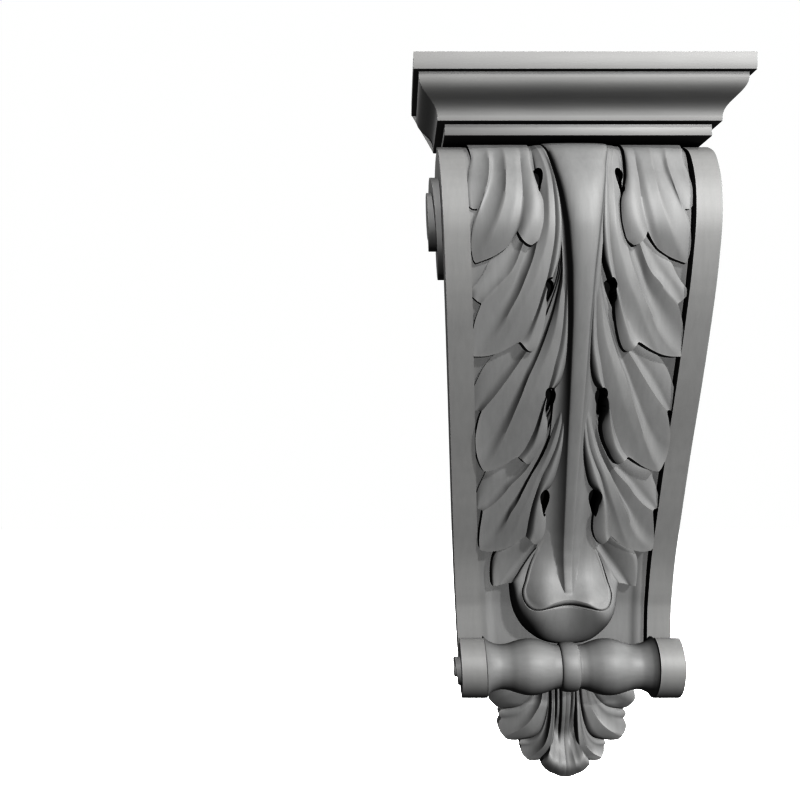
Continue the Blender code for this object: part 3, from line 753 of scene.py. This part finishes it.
SCOOP_BOW = [(-2.2, 0.1), (-2.9, 0.3), (-3.0, 0.42), (-3.1, 0.52), (-3.2, 0.66), (-3.28, 0.90), (-3.36, 1.40),
             (-3.45, 1.6)]


def scoop_depth(x, z):
    lead = 0.035 * np.sin(np.pi * np.clip(np.abs(x) / 0.30, 0, 1)) ** 2
    return front(z) + at(SCOOP, z - lead) - at(SCOOP_BOW, z) * x * x


def cup():
    n = 40
    lip, bowl = resample(LIP, n + 1), resample(BOWL, n + 1)
    top = np.stack([np.linspace(0, 0.055, n + 1), np.full(n + 1, -2.25)], 1)
    shoulder = np.array([(.055, -2.25), (.07, -2.5), (.115, -2.78), (.15, -2.90), (.182, -2.974)])
    even = np.linspace(0, 1, n + 1)
    soft = np.where(even < 0.3, even * even / 0.3, even)
    roll = np.interp(soft, [0, 0.15, 0.3, 0.45, 1.0], [0.23, 0.20, 0.12, 0.085, 0.085])
    inner = lip + (np.array([0.02, -3.15]) - lip) * roll[:, None]
    inner[-1] = lip[-1] + (-0.001, 0.001)
    rows_x, rows_z, rows_d = [], [], []
    side = resample(shoulder, 60)
    s_side = np.linspace(0, 1, 60)
    for s in np.linspace(0, 1, 60):
        u = np.linspace(0, 1, n + 1)
        p = top + (inner - top) * s
        edge = np.array([np.interp(s, s_side, side[:, 0]), np.interp(s, s_side, side[:, 1])])
        p = p + (u ** 3)[:, None] * (edge - p[-1]) * (1 if s < 1 else 0)
        rows_x.append(p[:, 0])
        rows_z.append(p[:, 1])
        rows_d.append(scoop_depth(p[:, 0], p[:, 1]))
    lip_d = scoop_depth(inner[:, 0], inner[:, 1])
    u = np.linspace(0, 1, n + 1)
    fade = np.clip((1 - u) / 0.25, 0, 1)
    drop = np.interp(soft, [0, 0.15, 0.3, 0.45, 1.0], [0.062, 0.054, 0.036, 0.026, 0.026])
    for q in (0.2, 0.4, 0.55, 0.7, 0.82, 0.92, 1.0):
        p = inner + (lip - inner) * q
        rows_x.append(p[:, 0])
        rows_z.append(p[:, 1])
        rows_d.append(lip_d + fade * (0.006 * q - drop * (1 - np.sqrt(1 - q * q * 0.999))))
    edge_d = at([(-3.62, .235), (-3.60, .215), (-3.55, .160), (-3.48, .122), (-3.40, .112), (-3.30, .116),
                 (-3.25, .150), (-3.20, .200), (-3.15, .222), (-3.1, .234), (-3.0, .252), (-2.95, .262)], bowl[:, 1])
    brow = rows_d[-1] + 0.010 * fade
    for q in np.concatenate([[0.012, 0.04, 0.08], np.linspace(0.13, 1.0, 30)]):
        p = lip + (bowl - lip) * q
        hang = np.interp(soft, [0, 0.3, 0.6, 1.0], [2.4, 3.0, 4.5, 4.0])
        slack = np.interp(soft, [0, 0.3, 0.5, 0.6, 1.0], [0.55, 0.42, 0.10, 0.0, 0.0])
        fall = slack * q ** 1.5 + (1 - slack) * (1 - np.sqrt(np.clip(1 - np.clip(q, 0, 1) ** hang, 0, 1)))
        d = brow + (edge_d - brow) * fall
        if q == 0.012:
            d = rows_d[-1] * 0.5 + d * 0.5
        rows_x.append(p[:, 0])
        rows_z.append(p[:, 1])
        rows_d.append(d)
    X, Z, D = np.array(rows_x), np.array(rows_z), np.array(rows_d)
    X = np.concatenate([-X[:, :0:-1], X], 1)
    Z = np.concatenate([Z[:, :0:-1], Z], 1)
    D = np.concatenate([D[:, :0:-1], D], 1)
    return shell("cup", X, Z, D, lambda X, Z: front(Z) - 0.11)


def acanthus():
    body = field()
    parts = []
    for k, lobe in enumerate((LOBE_5, LOBE_4, LOBE_3, LOBE_2, LOBE_1)):
        ways = WAYS_5 if lobe is LOBE_5 else WAYS
        X, Z, H = lobe_grid(lobe, ways, 84, 7)
        one = shell("lobe_%d" % (5 - k), X, Z, face(Z) + H, inside_field)
        parts += [one, flipped(one, one.name + "_other")]
    parts += [stem(), cup()]
    for p in parts:
        combine(body, p, 'UNION')
    for k, pit in enumerate(PITS):
        ring = spline(pit, 4, closed=True)
        one = relief("pit_%d" % k, ring, [], [], lambda r, x, z: float(front(z)) + 0.3,
                     lambda x, z: float(front(z)) - FIELD_SET_BACK - PANEL_THICK + 0.02,
                     lambda x, z, h: world(x, h, z))
        two = flipped(one, one.name + "_other")
        combine(body, one, 'DIFFERENCE')
        combine(body, two, 'DIFFERENCE')
    return body


# ---------------------------------------------------------------- bolster
def bolster():
    """Turned roll; its ends are cut to the slope of the cheeks."""
    axis = ROLL_Z - 0.003
    half = BAND_HALF - BAND_WIDTH + BAND_SLOPE * (axis - 0.18) - 0.8 * GAP
    right = spline([(half, 0.186), (half - 0.012, 0.172), (half - 0.032, 0.156), (0.46, 0.142), (0.43, 0.1375),
                    (0.385, 0.1430), (0.33, 0.1600), (0.265, 0.1735), (0.20, 0.1700), (0.14, 0.1530), (0.10, 0.1390),
                    (0.071, 0.1335)], 8)
    ring = [(0.059 * math.cos(a), 0.1335 + 0.0205 * math.sin(a) ** 0.8)
            for a in [math.pi / 2 * k / 14 for k in range(0, 15)]]
    ring[-1] = (0.0, 0.154)
    prof = right + ring
    prof = prof + [(-x, r) for x, r in reversed(prof[:-1])]
    n = 120
    bm = bmesh.new()
    rings = []
    for x, r in prof:
        ring = []
        for i in range(n):
            z = axis + r * math.sin(2 * math.pi * i / n)
            lean = BAND_SLOPE * (z - axis + 0.18) * max(0.0, (abs(x) - 0.40) / (half - 0.40))
            ring.append(bm.verts.new(world(x + math.copysign(lean, x) * (abs(x) > 0.40),
                                           ROLL_D + r * math.cos(2 * math.pi * i / n), z)))
        rings.append(ring)
    for a, b in zip(rings, rings[1:]):
        for i in range(n):
            j = (i + 1) % n
            bm.faces.new((a[i], a[j], b[j], b[i]))
    bm.faces.new(rings[0])
    bm.faces.new(list(reversed(rings[-1])))
    return to_object("bolster_turned", bm)


# ---------------------------------------------------------------- pendant
# leaflets of the drop, from the outside in; heights are depths from the wall
DROP_TOP = -3.905
DROP_A = dict(
    lines=[
        L([(.38, DROP_TOP), (.45, -3.915), (.500, -3.94), (.518, -3.975)], .125, .12, .10, .085),
        L([(.30, DROP_TOP), (.36, -3.945), (.42, -3.98), (.470, -4.020), (.490, -4.030)], .155, .165, .155, .120),
        L([(.24, DROP_TOP), (.27, -3.96), (.33, -4.01), (.39, -4.045), (.430, -4.062)], .165, .165, .155, .125),
        L([(.20, DROP_TOP), (.22, -3.97), (.27, -4.02), (.33, -4.055), (.385, -4.062)], .140, .140, .140, .12)],
    ends=[[(.518, -3.975), (.515, -4.005), (.490, -4.030)], [(.490, -4.030), (.465, -4.050), (.430, -4.062)],
          [(.430, -4.062), (.385, -4.062)]])
DROP_B = dict(
    lines=[
        L([(.24, DROP_TOP), (.27, -3.97), (.34, -4.03), (.40, -4.06), (.440, -4.070)], .120, .125, .13, .12),
        L([(.20, DROP_TOP), (.23, -3.99), (.30, -4.06), (.38, -4.105), (.437, -4.118)], .150, .165, .165, .130),
        L([(.16, DROP_TOP), (.18, -4.00), (.25, -4.10), (.34, -4.17), (.425, -4.215)], .185, .205, .205, .165),
        L([(.13, DROP_TOP), (.145, -4.02), (.20, -4.13), (.27, -4.20), (.36, -4.238)], .190, .205, .205, .165),
        L([(.105, DROP_TOP), (.115, -4.04), (.155, -4.16), (.215, -4.215), (.300, -4.236)], .150, .160, .175, .15)],
    ends=[[(.440, -4.070), (.454, -4.092), (.437, -4.118)], [(.437, -4.118), (.455, -4.150), (.450, -4.185), (.425, -4.215)],
          [(.425, -4.215), (.400, -4.233), (.36, -4.238)], [(.36, -4.238), (.300, -4.236)]])
DROP_C = dict(
    lines=[
        L([(.125, DROP_TOP), (.135, -4.04), (.18, -4.16), (.25, -4.225), (.315, -4.240)], .140, .150, .16, .15),
        L([(.115, DROP_TOP), (.125, -4.06), (.165, -4.18), (.235, -4.255), (.312, -4.275)], .170, .190, .20, .165),
        L([(.10, DROP_TOP), (.108, -4.08), (.14, -4.21), (.20, -4.29), (.285, -4.340)], .210, .235, .245, .205),
        L([(.085, DROP_TOP), (.09, -4.10), (.11, -4.24), (.15, -4.32), (.215, -4.355)], .215, .240, .250, .210),
        L([(.068, DROP_TOP), (.072, -4.10), (.088, -4.24), (.115, -4.31), (.165, -4.352)], .180, .195, .215, .20)],
    ends=[[(.315, -4.240), (.326, -4.258), (.312, -4.275)], [(.312, -4.275), (.314, -4.300), (.306, -4.325), (.285, -4.340)],
          [(.285, -4.340), (.255, -4.356), (.215, -4.355)], [(.215, -4.355), (.165, -4.352)]])
DROP_D = dict(
    lines=[
        L([(.075, DROP_TOP), (.080, -4.10), (.098, -4.24), (.13, -4.32), (.172, -4.370)],
          .205, .205, .190, .165, .160, .200, .250, .228),
        L([(.060, DROP_TOP), (.060, -4.10), (.070, -4.26), (.10, -4.36), (.150, -4.430)],
          .235, .235, .215, .180, .165, .215, .268, .222),
        L([(.045, DROP_TOP), (.040, -4.10), (.045, -4.28), (.065, -4.38), (.085, -4.462)],
          .225, .222, .205, .175, .165, .215, .270, .220),
        L([(.026, DROP_TOP), (.024, -4.10), (.022, -4.28), (.022, -4.38), (.022, -4.482)],
          .255, .248, .230, .200, .180, .215, .262, .220),
        L([(-.004, DROP_TOP), (-.004, -4.10), (-.004, -4.28), (-.004, -4.38), (-.004, -4.484)],
          .250, .243, .225, .195, .176, .210, .258, .218)],
    ends=[[(.172, -4.370), (.178, -4.400), (.150, -4.430)], [(.150, -4.430), (.120, -4.450), (.085, -4.462)],
          [(.085, -4.462), (.055, -4.475), (.022, -4.482)], [(.022, -4.482), (-.004, -4.484)]])


def pendant():
    cover = [(0.52, -3.905), (0.515, -4.00), (0.43, -4.055), (0.430, -4.13), (0.42, -4.20), (0.375, -4.225),
             (0.31, -4.215), (0.31, -4.30), (0.28, -4.335), (0.20, -4.335), (0.160, -4.40), (0.10, -4.445), (0.0, -4.475)]
    cover = [(x * 0.86, z + 0.012 * (z < -3.95)) for x, z in cover]
    outline = [(-x, z) for x, z in cover[:-1]][::1]
    outline = cover + mirror(cover[:-1])
    body = relief("pendant_carved", outline, [], grid(-0.5, 0.5, 24, -3.93, -4.46, 14),
                  lambda r, x, z: 0.115 - 0.12 * (abs(x) / 0.52) ** 2 + 0.05 * (1 - (abs(x) / 0.52)),
                  lambda x, z: GAP, lambda x, z, h: world(x, h, z))
    for name, lobe, ways in (("a", DROP_A, ("swell", "swell", "roll")),
                             ("b", DROP_B, ("swell", "cove", "back", "roll")),
                             ("c", DROP_C, ("swell", "cove", "back", "roll")),
                             ("d", DROP_D, ("swell", "back", "swell", "roll"))):
        X, Z, D = lobe_grid(lobe, ways, 46, 9)
        low = np.clip((-4.02 - Z) / 0.30, 0, 1)
        X = np.interp(X, [0, .178, .326, .455, .518], [0, .157, .287, .425, .490])
        if name != "d":
            Z = np.interp(Z, [-4.484, -4.355, -4.238, -4.062, -3.9], [-4.484, -4.400, -4.280, -4.075, -3.9])
            D = D - 0.045 * low
        one = shell("drop_" + name, X, Z, D, lambda X, Z: 0 * X + 0.03)
        two = flipped(one, "drop_other_" + name)
        combine(body, one, 'UNION')
        combine(body, two, 'UNION')
    pocket = [(0.36, -3.95), (0.36, -4.05), (0.27, -4.18), (0.16, -4.27), (0.0, -4.33)]
    pocket = spline(pocket, 5)
    pocket = pocket + mirror(pocket[:-1])
    cut = relief("hollow", pocket, [], [], lambda r, x, z: 0.085,
                 lambda x, z: -0.05, lambda x, z, h: world(x, h, z))
    combine(body, cut, 'DIFFERENCE')
    return body


# ---------------------------------------------------------------- paint
def paint(name, tone, grain, seed):
    """Matt grey primer brushed over carved wood: faint grain, soft mottling, rubbed arrises."""
    m = bpy.data.materials.new(name)
    m.use_nodes = True
    nt = m.node_tree
    n, l = nt.nodes, nt.links
    b = n["Principled BSDF"]
    b.inputs["Roughness"].default_value = 0.42
    b.inputs["IOR"].default_value = 1.5
    b.inputs["Specular IOR Level"].default_value = 0.40
    co = n.new("ShaderNodeTexCoord")
    stretch = n.new("ShaderNodeMapping")
    stretch.inputs["Scale"].default_value = grain
    stretch.inputs["Location"].default_value = (seed, seed * 0.7, seed * 0.3)
    l.new(co.outputs["Object"], stretch.inputs["Vector"])
    fibre = n.new("ShaderNodeTexNoise")
    fibre.inputs["Scale"].default_value = 55.0
    fibre.inputs["Detail"].default_value = 5.0
    fibre.inputs["Roughness"].default_value = 0.6
    l.new(stretch.outputs["Vector"], fibre.inputs["Vector"])
    cloud = n.new("ShaderNodeTexNoise")
    cloud.inputs["Scale"].default_value = 26.0
    cloud.inputs["Detail"].default_value = 4.0
    l.new(co.outputs["Object"], cloud.inputs["Vector"])
    speck = n.new("ShaderNodeTexNoise")
    speck.inputs["Scale"].default_value = 900.0
    speck.inputs["Detail"].default_value = 2.0
    l.new(co.outputs["Object"], speck.inputs["Vector"])
    mottle = n.new("ShaderNodeMix")
    mottle.data_type = 'RGBA'
    mottle.inputs[6].default_value = (tone * 0.94, tone * 0.94, tone * 0.94, 1)
    mottle.inputs[7].default_value = (tone * 1.06, tone * 1.06, tone * 1.055, 1)
    l.new(cloud.outputs["Fac"], mottle.inputs[0])
    streak = n.new("ShaderNodeMix")
    streak.data_type = 'RGBA'
    streak.blend_type = 'MULTIPLY'
    streak.inputs[0].default_value = 1.0
    tint = n.new("ShaderNodeValToRGB")
    tint.color_ramp.elements[0].position = 0.30
    tint.color_ramp.elements[0].color = (0.95, 0.95, 0.95, 1)
    tint.color_ramp.elements[1].position = 0.62
    tint.color_ramp.elements[1].color = (1.0, 1.0, 1.0, 1)
    l.new(fibre.outputs["Fac"], tint.inputs["Fac"])
    l.new(mottle.outputs[2], streak.inputs[6])
    l.new(tint.outputs["Color"], streak.inputs[7])
    geo = n.new("ShaderNodeNewGeometry")
    worn = n.new("ShaderNodeValToRGB")
    worn.color_ramp.elements[0].position = 0.505
    worn.color_ramp.elements[0].color = (0, 0, 0, 1)
    worn.color_ramp.elements[1].position = 0.60
    worn.color_ramp.elements[1].color = (0.35, 0.35, 0.35, 1)
    l.new(geo.outputs["Pointiness"], worn.inputs["Fac"])
    rub = n.new("ShaderNodeMix")
    rub.data_type = 'RGBA'
    rub.inputs[7].default_value = (tone * 1.18, tone * 1.17, tone * 1.15, 1)
    l.new(worn.outputs["Color"], rub.inputs[0])
    l.new(streak.outputs[2], rub.inputs[6])
    l.new(rub.outputs[2], b.inputs["Base Color"])
    gloss = n.new("ShaderNodeMapRange")
    gloss.inputs["To Min"].default_value = 0.52
    gloss.inputs["To Max"].default_value = 0.64
    l.new(cloud.outputs["Fac"], gloss.inputs["Value"])
    l.new(gloss.outputs["Result"], b.inputs["Roughness"])
    fine = n.new("ShaderNodeBump")
    fine.inputs["Strength"].default_value = 0.05
    fine.inputs["Distance"].default_value = 0.0002
    l.new(speck.outputs["Fac"], fine.inputs["Height"])
    wood = n.new("ShaderNodeBump")
    wood.inputs["Strength"].default_value = 0.10
    wood.inputs["Distance"].default_value = 0.0004
    l.new(fibre.outputs["Fac"], wood.inputs["Height"])
    l.new(fine.outputs["Normal"], wood.inputs["Normal"])
    l.new(wood.outputs["Normal"], b.inputs["Normal"])
    return m


TONE = 0.30
ALONG_Z, ALONG_X = (6.0, 6.0, 0.5), (0.5, 6.0, 6.0)
PAINT_UPRIGHT = paint("primer_upright_grain", TONE, ALONG_Z, 0.0)
PAINT_ACROSS = paint("primer_cross_grain", TONE, ALONG_X, 3.1)
PAINT_LEAF = paint("primer_carving", TONE, ALONG_Z, 5.7)


# near-black tone: painted shade for the deep drilled eyes of the leaf
PAINT_EYE_SHADE = paint("painted_shade_drilled_eyes", 0.035, ALONG_Z, 9.3)


def paint_shade_in_eyes(ob):
    """Paint the walls and floors of the drilled eyes near-black: painted shade for the deep pits."""
    ob.data.materials.append(PAINT_EYE_SHADE)
    n = len(ob.data.polygons)
    mid = np.empty(n * 3)
    ob.data.polygons.foreach_get("center", mid)
    mid = mid.reshape(-1, 3)
    x, d, z = np.abs(mid[:, 0]) / U, -mid[:, 1] / U, mid[:, 2] / U + ORIGIN_Z
    inside = np.zeros(n, bool)
    for pit in PITS:
        ring = np.array(spline(pit, 4, closed=True))
        c = ring.mean(0)
        inside |= inside_all(np.stack([x, z], 1), c + (ring - c) * 1.04)
    inside &= (d < front(z) - 0.045) & (d > front(z) - FIELD_SET_BACK - PANEL_THICK + 0.008)
    # faces inside the eyes take the near-black painted-shade material
    ob.data.polygons.foreach_set("material_index", inside.astype(np.int32))


def finish_piece(ob, node, mat, angle=38.0):
    ob.data.materials.clear()
    ob.data.materials.append(mat)
    if node == "leaf_panel":
        paint_shade_in_eyes(ob)
    ob.data.shade_smooth()
    ob.data.set_sharp_from_angle(angle=math.radians(angle))
    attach(ob, "root")
    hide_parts(node)
    print(ob.name, len(ob.data.polygons), "faces")


finish_piece(crown(), "crown_moulding", PAINT_ACROSS, 30.0)
finish_piece(board(), "soffit_board", PAINT_ACROSS, 50.0)
finish_piece(cheek("left_scroll_carved", -1), "left_scroll", PAINT_UPRIGHT)
finish_piece(cheek("right_scroll_carved", 1), "right_scroll", PAINT_UPRIGHT)
finish_piece(acanthus(), "leaf_panel", PAINT_LEAF)
finish_piece(bolster(), "bolster", PAINT_ACROSS)
finish_piece(pendant(), "pendant_leaf", PAINT_LEAF)

# ---------------------------------------------------------------- camera, floor, light
scene = bpy.context.scene
cam_data = bpy.data.cameras.new("camera")
cam = bpy.data.objects.new("camera", cam_data)
scene.collection.objects.link(cam)
cam.location = (-0.0970, -0.50539, -0.14697)
cam.rotation_euler = (math.radians(90), 0, 0)
cam_data.sensor_width = 36.0
cam_data.lens = 37.26
cam_data.clip_start = 0.01
cam_data.dof.use_dof = False
scene.camera = cam

floor_mesh = bpy.data.meshes.new("floor")
s, fz = 2.5, -0.62
floor_mesh.from_pydata([(-s, -s, fz), (s, -s, fz), (s, s, fz), (-s, s, fz)], [], [(0, 1, 2, 3)])
floor = bpy.data.objects.new("floor", floor_mesh)
scene.collection.objects.link(floor)
pale = bpy.data.materials.new("pale_floor")
pale.use_nodes = True
pale.node_tree.nodes["Principled BSDF"].inputs["Base Color"].default_value = (0.9, 0.9, 0.9, 1)
pale.node_tree.nodes["Principled BSDF"].inputs["Roughness"].default_value = 0.9
pale.node_tree.nodes["Principled BSDF"].inputs["Emission Color"].default_value = (1, 1, 1, 1)
pale.node_tree.nodes["Principled BSDF"].inputs["Emission Strength"].default_value = 0.95
floor_mesh.materials.append(pale)
floor.visible_diffuse = False
floor.visible_glossy = False


def lamp(name, place, power, size, shadow):
    """A soft round studio lamp aimed at the middle of the corbel."""
    d = bpy.data.lights.new(name, 'AREA')
    d.shape = 'DISK'
    d.size = size
    d.energy = power
    d.use_shadow = shadow
    d.cycles.max_bounces = 0
    o = bpy.data.objects.new(name, d)
    o.location = place
    toward = Vector(place) - Vector((0.0, -0.05, -0.15))
    o.rotation_euler = toward.to_track_quat('Z', 'Y').to_euler()
    scene.collection.objects.link(o)


KEY = (1.00, -2.00, 1.05)
lamp("key_soft", KEY, 26.0, 0.19, True)
lamp("key_open", KEY, 102.0, 0.19, False)
# lamps behind and above it, for the views the photo does not show
lamp("fill_left", (-0.9, 0.75, 0.30), 7.5, 0.4, True)
lamp("fill_right", (1.2, 0.35, 0.1), 12.0, 0.4, True)
lamp("fill_back", (0.2, 1.3, 0.3), 25.0, 0.4, True)
lamp("fill_top", (0.1, 0.1, 1.1), 3.5, 0.3, True)

sky = bpy.data.worlds.new("studio")
sky.use_nodes = True
wn, wl = sky.node_tree.nodes, sky.node_tree.links
back = wn["Background"]
back.inputs["Color"].default_value = (1, 1, 1, 1)
path = wn.new("ShaderNodeLightPath")
power = wn.new("ShaderNodeMapRange")
power.inputs["To Min"].default_value = 0.21
power.inputs["To Max"].default_value = 1.0
wl.new(path.outputs["Is Camera Ray"], power.inputs["Value"])
wl.new(power.outputs["Result"], back.inputs["Strength"])
scene.world = sky
scene.view_settings.view_transform = 'Standard'
scene.view_settings.gamma = 0.45
